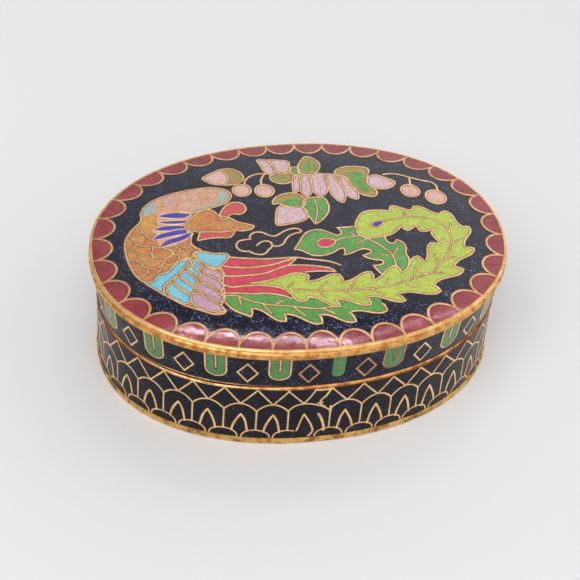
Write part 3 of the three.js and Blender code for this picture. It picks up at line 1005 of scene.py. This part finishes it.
def streamers(art):
    """The red streamers, each a strip between two long wires."""
    w1, w2, w3, tail, w4, w5, w6 = (smooth(w) for w in (W1, W2, W3, W3_TAIL, W4, W5, W6))
    shaft = smooth([(3.4, -9.3), (1.6, -9), (-1, -8.9), (-3, -9)])
    strips = [
        [w1[w1[:, 0] < -1.9], w2[::-1]],
        [w2, w3[::-1]],
        [w3[w3[:, 0] < -3.3], tail, shaft, w4[w4[:, 0] < -3.1][::-1], w5[w5[:, 0] < -9.6][::-1]],
        [w5[w5[:, 0] < -4.1], w6[w6[:, 0] < -4.2][::-1]],
    ]
    for strip in strips:
        art.cell("tail_red", np.vstack(strip), 1)
    for line in (w1, w2, w3, tail, w5, w6):
        art.wire(line)
    art.stroke([(3.4, -9.3), (1.6, -9), (-1, -8.9)], 0.3)
    art.stroke([(-13.4, -6), (-13.3, -8), (-13.6, -9.9), (-13.6, -11.6), (-14, -12.8)], 0.3)


LIGHT_OUTER = [(-1.6, -14), (2.8, -16.4), (2.3, -15.1), (7.5, -16.4), (7, -15), (12.8, -16.15),
               (11.8, -14.95), (18.6, -14.7), (17.8, -13.5), (23.3, -10.4), (21.9, -9.9), (26.2, -5.9),
               (24.8, -5.7), (26.8, -0.9), (25.9, -1), (23.9, 3), (22.9, 2.3), (19.2, 4.4), (18.6, 3.5),
               (15.3, 4.6), (15.1, 3.4)]
LIGHT_HEAD = [(15.1, 3.4), (13.1, 3.8), (11.6, 3.8), (10.4, 3.4), (9.6, 2.4), (8.9, 1.1), (8.7, -0.3),
              (8.9, -1.7), (9.7, -2.4), (11.4, -2.5), (13, -2.3), (14.05, -1.9), (15.1, -1.1), (15.9, -0.1)]
LIGHT_INNER = [(-1.2, -9.3), (-0.7, -9.6), (-1.1, -10.7), (4, -10), (4.1, -11.5), (8.9, -10),
               (8.7, -11.7), (12.95, -9), (13.4, -10.5), (16.8, -7.2), (17.4, -8.6), (19.7, -4.4),
               (20.8, -5), (20.4, -1.9), (21.5, -1.5), (18.6, -1.6), (18.5, -0.4), (16.5, -1.3),
               (15.9, -0.1)]
LIGHT_RIB = [(13.4, 1.2), (15.4, 1.5), (17.4, 1.8), (19.4, 1.6), (20.9, 1.2), (22.1, 0.3), (22.9, -1.1),
             (23.2, -2.7), (22.9, -4.4), (22.3, -6), (20.1, -8.9), (18.4, -10.6), (15.3, -11.8),
             (11.8, -12.9), (8.4, -13.3), (4.9, -13.3), (0.3, -12.95), (-2.7, -12.3)]
LIGHT_BARBS = [
    [(-4.1, -11.7), (-3.2, -10.8)], [(-3.3, -12.2), (-3, -12.8)],
    [(0.35, -12.85), (1, -12), (1.8, -11.3)], [(0.3, -13), (0.95, -14.25)],
    [(4.05, -13.2), (4.6, -14), (5.25, -14.7)], [(4.9, -13.15), (5.4, -12.6), (6.2, -11.6)],
    [(8.3, -13.4), (9.8, -14.8)], [(10.5, -13), (11.3, -11.5)],
    [(13.2, -12.45), (14.15, -13.3), (15.3, -13.7)], [(15.2, -11.8), (15.4, -10.9), (16, -9.7)],
    [(16.7, -11), (18.4, -11), (19.8, -11.1)], [(19.6, -7.1), (19.7, -9)], [(21.2, -7.9), (22.7, -7.7)],
    [(22.8, -4.6), (21.7, -3.6)], [(22.9, -4.6), (24.9, -3.6)], [(23.2, -2.1), (24, 0)],
    [(17.1, 3), (17.1, 1.9)],
]


def light_feather(art):
    """The long light-green tail feather, which curls round to an eye."""
    outer = toothed(LIGHT_OUTER, 1)
    inner = toothed(LIGHT_INNER, -1)
    head = smooth(LIGHT_HEAD)
    start, foot = smooth(W4), smooth(W5)
    outline = joined(start, inner, head[::-1], outer[::-1], foot[foot[:, 0] > -9.4][::-1])
    art.cell("light_green", outline, 3)
    for line in (start, inner, head, outer):
        art.wire(line)
    art.stroke(LIGHT_RIB, 0.22)
    for barb in LIGHT_BARBS:
        art.stroke(barb, 0.24)
    eye = smooth([(13.5, 1.2), (12.7, 1.3), (11.6, 0.9), (11.3, 0.2), (11.9, -0.2), (12.8, 0.3),
        (13.5, 1.2)])
    art.bound("cobalt", eye[:-1], 4, 0.26)


def dark_feathers(art):
    """The two dark-green tail feathers: one above, with a red eye, and one below."""
    top = cornered(
        [(-1.7, -3.8), (-0.7, -2.3), (0.2, -0.9), (1, -0.1), (2, 0.2), (3, 0.2), (3.9, -0.3), (4.8, -1),
         (5.5, -1.4), (6.2, -1), (6.2, -0.5), (5.7, 0.35)],
        [(5.7, 0.35), (6.8, 0.3), (8.65, 0.35)],
    )
    right = cornered(
        [(12.8, -2.1), (12.7, -3), (13.1, -3.9), (13.6, -4.1), (14.4, -3.3)],
        [(14.4, -3.3), (15.4, -4.5), (15.4, -5.4), (15.1, -6.5), (15.3, -7.6), (14.9, -9)],
    )
    left = cornered(
        [(10.3, -10.4), (9.8, -9.4), (9.5, -8.6)],
        [(9.5, -8.6), (10.6, -8.6), (11.2, -8.3), (11.2, -7.8), (10, -7.4), (9, -6.9), (8.4, -6.3)],
        [(8.4, -6.3), (9.1, -6.1), (9.8, -5.8), (9.8, -5.3), (9, -4.9), (7.8, -5.1), (6.8, -5.6),
         (5.6, -5.9)],
        [(5.6, -5.9), (5.9, -5), (5.8, -4.4), (5.1, -4.5), (4.15, -5.1), (3.1, -5.5), (2, -5.65),
         (0.8, -5.4), (0, -4.8), (-0.7, -4.15), (-1.7, -3.8)],
    )
    under_head = smooth([top[-1], (10.5, 0), right[0]])
    under_tail = smooth([right[-1], (12.5, -10.6), left[0]])
    art.cell("leaf_green", joined(top, under_head, right, under_tail, left)[:-1], 1)
    for line in (top, right, left):
        art.wire(line)
    eye = smooth([(2, -2.9), (2.8, -1.95), (3.9, -1.95), (4.9, -2.6), (4.15, -3.6), (3, -3.9),
        (2.2, -3.6)], closed=True)
    art.bound("tail_red", eye, 2, 0.3)
    for line in (
            [(4.9, -2.6), (5.8, -2.25), (7.4, -2), (8.65, -1.95)],
            [(9.9, -2.65), (11.1, -3.8), (12.1, -5.1), (12.8, -6.2), (13, -7.6), (13, -8.9)],
            [(7.7, -1), (8.1, -1.9)],
            [(7.9, -3.7), (9.2, -3), (9.9, -2.65)],
            [(11.2, -6.5), (12.3, -6.6)],
            [(13.1, -6.7), (14.1, -5.25)],
    ):
        art.stroke(line, 0.28)
    front = joined(
        smooth([(-13.8, -11.8), (-14, -12.8), (-13.65, -13.7), (-13.1, -14.65), (-12.3, -15.5),
            (-11.5, -16), (-10.5, -16.7)]),
        bend((-10.5, -16.7), (-10.3, -15.1), -0.1, -0.25, 5),
        toothed([(-10.3, -15.1), (-5.6, -18.2), (-5.8, -16.9), (-0.4, -19.2), (-0.7, -17.6),
            (4.6, -19.4), (3.8, -17.7), (9.6, -17.8), (9.1, -16.4)], 1),
    )
    lower = joined(
        front,
        smooth([(9.1, -16.4), (9, -15), (4, -14), (-1, -13.5), (-4, -13.9)]),
        smooth(W6[::-1]),
    )
    art.cell("leaf_green", lower, 1)
    art.wire(front)
    for line in (
            [(-11.2, -12.9), (-10.3, -13.55), (-8.8, -14.3), (-7.1, -14.9), (-5.35, -15.3),
             (-3.6, -15.7), (-0.2, -16.4), (1.6, -16.3), (2.8, -16.4)],
            [(-13.5, -12.2), (-11.9, -12.4), (-11.2, -12.9)],
            [(-11.6, -12.8), (-11.6, -14.2)],
            [(-8.35, -14.6), (-7.5, -16.5)],
            [(-6.85, -15), (-5.35, -14.25)],
            [(-4, -15.7), (-2.7, -17.4)],
            [(0.2, -16.4), (1.7, -17.6)],
    ):
        art.stroke(line, 0.28)


def cloud(art):
    """The curling cloud between the bird's head and its tail, in wire alone."""
    art.stroke([(-8, -0.7), (-8.85, -0.7), (-9.65, -0.85), (-10.2, -1.4), (-10.35, -2.2), (-10, -2.9),
        (-9.3, -3.3), (-8.6, -3.35)])
    art.stroke([(-8.6, -3.35), (-8.15, -3.85), (-7.5, -4.2), (-6.8, -4.35), (-6.1, -4), (-5.7, -3.4)])
    art.stroke([(-5.7, -3.4), (-5.15, -3), (-4.9, -2.35), (-5.15, -1.65), (-5.85, -1.4), (-6.65, -1.65),
        (-7.2, -2.2)])
    art.stroke([(-4.9, -2.6), (-3.9, -2.75), (-3.2, -2.4), (-2.6, -1.4), (-1.8, -0.6), (-0.8, -0.15),
        (0.05, 0.1), (-0.1, 0.65), (-0.9, 0.95), (-1.8, 0.8), (-2.7, 0.4), (-3.5, -0.15), (-4.35, -0.45),
        (-5, -0.15), (-5.85, 0.55), (-6.65, 0.8), (-7.35, 0.65), (-7.9, 0.1), (-8.05, -0.7)])


def peony(art):
    """The peony spray: petals, leaves, buds, and berries on stems."""
    bud = smooth([(-13.1, 15.2), (-11.4, 16.6), (-10, 17.3), (-8.3, 17.3), (-6.7, 15.4), (-6.7, 14.1),
        (-8.3, 12.9), (-10, 13), (-12.4, 14.1)], closed=True)
    art.bound("petal_peach", bud, 0)
    art.stain("olive", [(-9.7, 17.2), (-8.3, 17.3), (-6.7, 15.4), (-6.7, 14.1), (-8.3, 12.9), (-9.6, 13),
        (-9, 15)], 1)
    art.stroke([(-9.7, 17.1), (-9, 15), (-9.6, 13.1)], 0.26)
    berries = [((-7.4, 11.2), 2.9, 3.1), ((-3.85, 10.6), 3, 3.2), ((19.5, 8.4), 3, 3.2),
               ((23.3, 6.6), 3.3, 3.6)]
    for berry in berries:
        art.bound("petal_peach", ellipse(*berry), 1)
    for stem in (
            [(-6.7, 12.7), (-6.3, 13.9), (-5.4, 14.75), (-3.8, 15.2), (-2.6, 15)],
            [(-4.05, 12.1), (-3.65, 14.1), (-3, 15)],
            [(16.1, 12.95), (17.4, 13.1), (18.95, 12.7), (20.2, 12), (22.3, 11), (23.75, 10.4),
             (24, 8.3)],
            [(20.2, 12), (19.9, 10)],
    ):
        art.stroke(stem, 0.38)
    art.patch("petal_pink", [(-3.5, 19.3), (-3.3, 17.3), (-2.9, 15.6), (-2, 14.5), (-1.2, 15.2),
        (-1.4, 17), (-2, 19)], 0)
    art.patch("petal_pink", [(-1.9, 19), (-0.5, 18.8), (1.3, 18.1), (1.3, 16.6), (0.9, 15.1),
        (-0.4, 14.6), (-1.2, 15.3), (-1.3, 17)], 1)
    art.patch("olive", [(-2.4, 14), (-1.3, 15), (0.4, 15), (1.6, 14.3), (1.3, 13), (0.2, 12.1),
        (-1.2, 12.2), (-2.2, 13)], 2)
    art.bound("leaf_green", ellipse((-0.4, 13.5), 2.4, 0.9, 6), 3, 0.22)
    art.bound("leaf_green", ellipse((2.0, 15.3), 1.5, 2.3), 2, 0.26)
    art.patch("olive", [(4.6, 19.3), (3.5, 18.1), (2.7, 16.6), (2.6, 14.5), (3.6, 14), (4.9, 14.2),
        (6, 15.6), (6.3, 16.9), (5.6, 18.5)], 1)
    for x, reach in ((3.5, 17.3), (4.3, 18.2), (5.2, 17.4)):
        art.cell("leaf_green", petal((x, 14.8), (x + 0.3, reach), 0.6), 2)
    petals = [
        [(1.5, 14.1), (2.5, 13.7), (2.2, 11.6), (1.6, 9.9), (0.8, 9.5), (0.8, 11.2), (1.1, 12.8)],
        [(2.5, 13.9), (3.9, 13.8), (4, 11.5), (3.5, 9.2), (2.6, 8.1), (1.9, 9.4), (2.2, 11.8)],
        [(4, 13.9), (6.6, 13.8), (6.5, 11.4), (5.9, 9), (4.8, 8), (3.9, 9.2), (3.9, 11.6)],
        [(6.6, 13.9), (8.3, 13.4), (8.7, 11), (8.9, 8.4), (7.9, 6.2), (6.7, 7.9), (6.5, 10.6)],
        [(8.3, 13.5), (9.7, 12.9), (10.2, 10.6), (10.9, 8.6), (10.4, 6.8), (9.2, 7.6), (8.8, 10)],
    ]
    for outline in petals:
        art.patch("petal_pink", outline, 2, 0.28)
    for line in (
            [(2.9, 13), (3, 11), (2.7, 9.6)],
            [(5.2, 13), (5.3, 11), (5, 9.4)],
            [(7.6, 12.8), (7.8, 10.6), (7.8, 8)],
            [(9, 12.6), (9.5, 10.4), (10.1, 8.4)],
    ):
        art.stroke(line, 0.2)
    leaf = smooth([(8.2, 13.8), (8.65, 14.8), (9.9, 15.5), (11.75, 15.6), (13.9, 14.8), (13.3, 12.4),
        (13, 11), (13.9, 8), (13.3, 7.3), (11.9, 7.7), (10.6, 9.1), (10.1, 11.5), (9.6, 12.7)],
        closed=True)
    art.bound("olive", leaf, 1)
    art.stain("leaf_green", [(11, 13.9), (12.7, 13.6), (12.4, 11), (12.9, 8.4), (11.9, 8.6),
        (11.1, 10.2)], 2)
    art.patch("petal_pink", [(13, 11.5), (13.6, 12.5), (14.7, 12.95), (16, 12.2), (17.5, 10.7),
        (17, 9.85), (15.6, 9.1), (14.2, 9.3), (13.2, 10.1)], 2)
    art.patch("olive", [(-3.1, 7.1), (-2.8, 8.2), (-1.9, 9), (-0.55, 9.5), (0.8, 9.4), (1.7, 8.6),
        (2.1, 7.5), (1.6, 6.1), (0.1, 6), (-1.5, 6.3), (-1.9, 7.1)], 1)
    art.stain("leaf_green", [(-1.6, 6.5), (0.1, 6.1), (1.6, 6.2), (2, 7.4), (0.4, 7.9), (-1.2, 7.6)], 2)
    art.patch("petal_pink", [(-3.4, 2.1), (-3.2, 3.9), (-2.8, 5.5), (-2.1, 6.5), (-0.4, 6.1), (1.5, 5.7),
        (1.9, 4.5), (1.5, 3), (0.3, 2.4), (-1.2, 2.1)], 2)
    pointed = smooth([(2.6, 1.6), (1.9, 3.9), (1.5, 5.7), (1.9, 7.5), (3.5, 8), (5.2, 7.6), (5.5, 6.5),
        (5.4, 4.8), (4.6, 3.3), (2.6, 1.6)])
    art.bound("leaf_green", pointed[:-1], 3)
    art.stroke([(3.5, 7.6), (3.6, 5.2), (3.1, 3.2), (2.6, 1.8)], 0.26)


SCALLOPS, SCALLOP_DEPTH, SCALLOP_ROUND = 36, 2.9, 2.1
FIRST = 1.6  # the first scallop's edge and the first lappet's middle are this far right of the front


def scallops(art):
    """The border: round-ended scallops that stand on the dome's edge. Each is the curve
    |across / half pitch|^n + |depth / full depth|^n = 1, set out so that the spacing
    drifts a little round the lid and the depth drifts too."""
    pitch = GIRTH / SCALLOPS
    even = FIRST + pitch * np.arange(SCALLOPS + 1)
    phase = 2 * PI * even / GIRTH
    cusps = even + 0.6 * np.sin(phase) - 0.15 * np.cos(2 * phase) - 0.24 * np.sin(2 * phase)
    turn = np.linspace(0, PI, 23)
    across = -np.sign(np.cos(turn)) * np.abs(np.cos(turn)) ** (2 / SCALLOP_ROUND)
    inward = np.sin(turn) ** (2 / SCALLOP_ROUND)
    for left, right in zip(cusps, cusps[1:]):
        middle = (left + right) / 2
        depth = SCALLOP_DEPTH - 0.3 * np.exp(-(((middle - 5) / 9) ** 2)) + 0.12 * np.sin(middle / 9)
        line = rim_plan(middle + across * (right - left) / 2, inward * depth)
        foot = rim_plan(np.linspace(right, left, 7), np.full(7, 0.02))
        art.cell("scallop_red", np.vstack([line, foot[1:-1]]), 0)
        art.wire(line, 0.43, "scallop_gilt")


# ---------------------------------------------------------------- the walls' patterns

def lid_border(art):
    """Green lappets that hang from the edge band, and a diamond between each two. The wire of one
    lappet in front is worn away, and its enamel with it."""
    count, width, worn = 19, 3.15, 9
    shifts = {-2: 0.5, -1: 0.6, 1: -0.75}  # set a little off the even spacing
    middles = [FIRST + k * GIRTH / count + shifts.get(k, 0) for k in range(-9, 11)]
    turn = np.linspace(PI, 2 * PI, 15)
    top = BAND_FOOT - 0.02
    tip, waist, toe, half = 17.5, 15.45, 13.4, 1.5  # a diamond's levels and half width
    for k, middle in enumerate(middles[:-1]):
        foot = 14.0 + 0.15 * np.cos(middle / 9)
        size = 1.9 if k == worn else width
        # The wires in front are set in a duller gilt.
        metal = "front_dull_gilt" if -4 < middle < 12 else "gilt"
        bow = np.stack([middle + size / 2 * np.cos(turn), foot + size / 2 * (1 + np.sin(turn))], -1)
        left, right = [middle - size / 2, top], [middle + size / 2, top]
        line = np.vstack([smooth([left, bow[0]]), bow[1:-1], smooth([bow[-1], right])])
        art.cell("lappet_green", line, 0)
        if k != worn:
            # A dark strip of painted shade and tarnish along the lappet's middle wire.
            art.cell("wire_shade_tarnish", petal((middle, top), (middle, foot + 1.3), 0.62, 0.25), 1)
            art.wire(line, 0.26, metal)
            art.wire(smooth([(middle, top), (middle, foot + 1.9)]), 0.2, metal)
        centre = (middle + middles[k + 1]) / 2
        corners = [(centre, tip), (centre + half, waist), (centre, toe), (centre - half, waist),
                   (centre, tip)]
        metal = "front_dull_gilt" if -4 < centre < 9 else "gilt"
        for start, end in zip(corners, corners[1:]):
            art.wire(smooth([start, end]), 0.29, metal)


def base_border(art):
    """Round the base: a zigzag under the mouth rim, arches that share their uprights, a lancet in
    each arch, and low arcs under the uprights. An arch is a bow, (1 - u^2.2) of its rise, and a low
    arc half an ellipse. The strip's two ends overlap in front, where the joint shows as an odd
    narrow cell, and the rows drift a little up and down."""
    seam_left, seam_right, count = -5.3, 1.1, 36
    pitch = (GIRTH - (seam_right - seam_left)) / (count - 1)
    crest, arch_top, spring, sill, foot = BASE_TOP - 0.12, 8.65, 7.15, 2.95, FOOT_TOP + 0.15
    random = np.random.default_rng(7)
    turn = np.linspace(0, PI, 15)
    uprights = seam_right + pitch * np.arange(count) + random.uniform(-0.1, 0.1, count)
    uprights[0], uprights[-1] = seam_right, seam_left + GIRTH
    for k, upright in enumerate(uprights):
        drift = 0.25 * np.sin(2 * PI * upright / GIRTH)
        arc = np.stack([upright - 0.445 * pitch * np.cos(turn),
                        foot + (sill + drift * 0.4 - foot) * np.sin(turn) ** 0.95], -1)
        art.wire(smooth([(upright, spring + drift), (upright + random.uniform(-0.1, 0.1), sill)]), 0.27)
        if k == count - 1:
            art.wire(arc[:10], 0.26)
            continue
        art.wire(arc, 0.26)
        centre = (upright + uprights[k + 1]) / 2
        half = (uprights[k + 1] - upright) / 2
        across = np.linspace(-1, 1, 15)
        rise = arch_top - spring
        arch = np.stack([centre + half * across, spring + drift + rise * (1 - np.abs(across) ** 2.2)], -1)
        art.wire(arch, 0.29)
        lean = random.uniform(-0.12, 0.12)
        apex = 6.35 + drift + random.uniform(-0.1, 0.1)
        for side in (-1, 1):
            art.wire(smooth([(centre + lean, apex), (centre + lean + side * 0.62, 5.1),
                             (centre + side * 1.02, 3.7), (centre + side * 1.2, 2.6)]), 0.37)
            art.wire(smooth([(centre, arch_top + drift), (centre + side * half, crest)]), 0.28)


def seam_joint(art):
    """The joint in the base's strip: a strayed arch, a doubled zigzag, a stump of a lancet and a
    hole in the enamel."""
    art.stain("pit", [(-2, 1.4), (-2.1, 2.3), (-1.3, 2.8), (-0.5, 2.6), (-0.3, 1.4)], 1)
    art.cell("gilt_blob", ellipse((-0.6, 8.55), 0.95, 0.75, 30), 3)
    top = BASE_TOP - 0.12
    strays = [
        (0.28, [(-5.3, 7.2), (-4.6, 8.1), (-3.1, 8.65), (-1, 8.2), (0.1, 7.6), (1.1, 6.8)]),
        (0.25, [(-5.6, top), (-3.1, 8.75)]),
        (0.25, [(-3.1, 8.75), (-2.2, 10), (-1.4, top)]),
        (0.34, [(1, top), (0.3, 10.2), (-0.6, 8.7), (-0.3, 8.1), (0.2, 7.7)]),
        (0.42, [(-1.4, BASE_TOP - 0.2), (-0.2, BASE_TOP - 0.3), (1.2, BASE_TOP - 0.2)]),
        (0.42, [(1.1, 7.6), (1.1, 6.4)]),
        (0.44, [(-0.7, 6.2), (-0.3, 5.4), (0, 4.5), (0.25, 3.4), (0.3, 2.5)]),
        (0.3, [(-1.4, 2.9), (-1.5, 2.2), (-2, 1.5)]),
    ]
    for width, line in strays:
        art.stroke(line, width)
    for side, foot in ((-1, -3.9), (1, -1.4)):
        art.stroke([(-2.9, 6.4), (-2.8 + side * 0.5, 5.2), (foot - side * 0.3, 3.9), (foot, 2.8)], 0.28)


def patterns():
    """All the inlaid work, a piece for each colour of each surface."""
    lid = Inlay(dome)
    for part in (scallops, bird_front, bird_feathers, streamers, dark_feathers, light_feather, cloud,
                 peony):
        part(lid)
    lid.build("lid", FINISHES)
    on_walls = {**FINISHES, "gilt": FINISHES["wall_gilt"], "gilt_blob": FINISHES["wall_gilt"]}
    border = Inlay(lid_wall)
    lid_border(border)
    border.build("lid_border", on_walls)
    strip = Inlay(base_wall)
    base_border(strip)
    seam_joint(strip)
    strip.build("base_border", on_walls)


# ---------------------------------------------------------------- camera, light and floor

def set_camera():
    """A long lens above the front left corner."""
    azimuth, height, roll = np.radians([-13.58, 43.31, 4.477])
    distance, aside, above, aim = 231.617, -0.966, -7.9, DOME_TOP - 1.56
    back = np.array([np.sin(azimuth) * np.cos(height), -np.cos(azimuth) * np.cos(height), np.sin(height)])
    right = np.cross(-back, [0, 0, 1])
    right = right / np.linalg.norm(right)
    up = np.cross(right, -back)
    axis_x = right * np.cos(roll) + up * np.sin(roll)
    axis_y = -right * np.sin(roll) + up * np.cos(roll)
    place = (back * distance + right * aside + up * above + [0, 0, aim]) * MM
    turn = Matrix((axis_x, axis_y, back)).transposed().to_4x4()
    data = bpy.data.cameras.new("camera")
    focal, sensor = 1500 / 580, 36  # the focal length in frame widths, and the frame's width
    data.sensor_width, data.lens = sensor, focal * sensor
    data.clip_start, data.clip_end = 0.01, 20
    camera = bpy.data.objects.new("camera", data)
    camera.matrix_world = Matrix.Translation(Vector(place)) @ turn
    bpy.context.scene.collection.objects.link(camera)
    bpy.context.scene.camera = camera


def softbox(name, place, aim, width, height, power):
    """A flat lamp that faces a point."""
    data = bpy.data.lights.new(name, "AREA")
    data.shape, data.size, data.size_y, data.energy = "RECTANGLE", width, height, power
    lamp = bpy.data.objects.new(name, data)
    facing = (Vector(aim) - Vector(place)).to_track_quat("-Z", "Y")
    lamp.matrix_world = Matrix.Translation(Vector(place)) @ facing.to_matrix().to_4x4()
    bpy.context.scene.collection.objects.link(lamp)


def thin_lamp(name, one, two, thick, power):
    """A thin flat lamp from one point to another, that faces the box."""
    one, two = np.array(one), np.array(two)
    middle, along = (one + two) / 2, (two - one) / np.linalg.norm(two - one)
    away = middle - (middle @ along) * along
    away = away / np.linalg.norm(away)
    data = bpy.data.lights.new(name, "AREA")
    data.shape, data.size, data.size_y = "RECTANGLE", np.linalg.norm(two - one), thick
    data.energy, data.color = power, (1, 0.86, 0.97)
    lamp = bpy.data.objects.new(name, data)
    turn = Matrix((along, np.cross(away, along), away)).transposed().to_4x4()
    lamp.matrix_world = Matrix.Translation(Vector(middle)) @ turn
    bpy.context.scene.collection.objects.link(lamp)


def set_light():
    """A pale room that is darker overhead and on the left, three thin lamps end to end high behind the
    box, which show as the line of light on the front scallops, and a wide soft one to the front."""
    world = bpy.data.worlds.new("studio")
    bpy.context.scene.world = world
    world.use_nodes = True
    tree = world.node_tree
    tree.nodes.clear()
    look = add(tree, "SeparateXYZ", {0: add(tree, "TexCoord").outputs["Generated"]})
    overhead = ranged(tree, look.outputs["Z"], 0.72, 0.86, 1.0, 0.42)
    level = times(tree, overhead, ranged(tree, look.outputs["X"], -0.3, 0.5, 0.42, 1.05))
    room = add(tree, "Background", {"Color": (1.0, 1.0, 1.0, 1), "Strength": level})
    tree.links.new(room.outputs[0], add(tree, "OutputWorld").inputs["Surface"])
    bends = [(-0.05, 0.2585, 0.4975), (0.035, 0.218, 0.511), (0.125, 0.188, 0.5115), (0.25, 0.2405, 0.4495)]
    thin_lamp("left", bends[0], bends[1], 0.009, 0.07)
    thin_lamp("middle", bends[1], bends[2], 0.009, 0.065)
    thin_lamp("right", bends[2], bends[3], 0.0035, 0.02)
    softbox("front", (-0.3, -0.45, 0.8), (0, 0, 0), 0.9, 0.9, 6.4)


def set_floor():
    """A plain pale floor."""
    far = 1.5
    mesh = bpy.data.meshes.new("floor")
    mesh.from_pydata([(-far, -far, 0), (far, -far, 0), (far, far, 0), (-far, far, 0)], [], [(0, 1, 2, 3)])
    floor = bpy.data.objects.new("floor", mesh)
    material = bpy.data.materials.new("paper")
    material.use_nodes = True
    shader = material.node_tree.nodes["Principled BSDF"]
    shader.inputs["Base Color"].default_value = srgb(233, 233, 234)
    shader.inputs["Roughness"].default_value = 0.7
    mesh.materials.append(material)
    bpy.context.scene.collection.objects.link(floor)


bpy.context.scene.view_settings.view_transform = "Standard"
set_camera()
set_floor()
set_light()
base_pieces()
lid_pieces()
patterns()
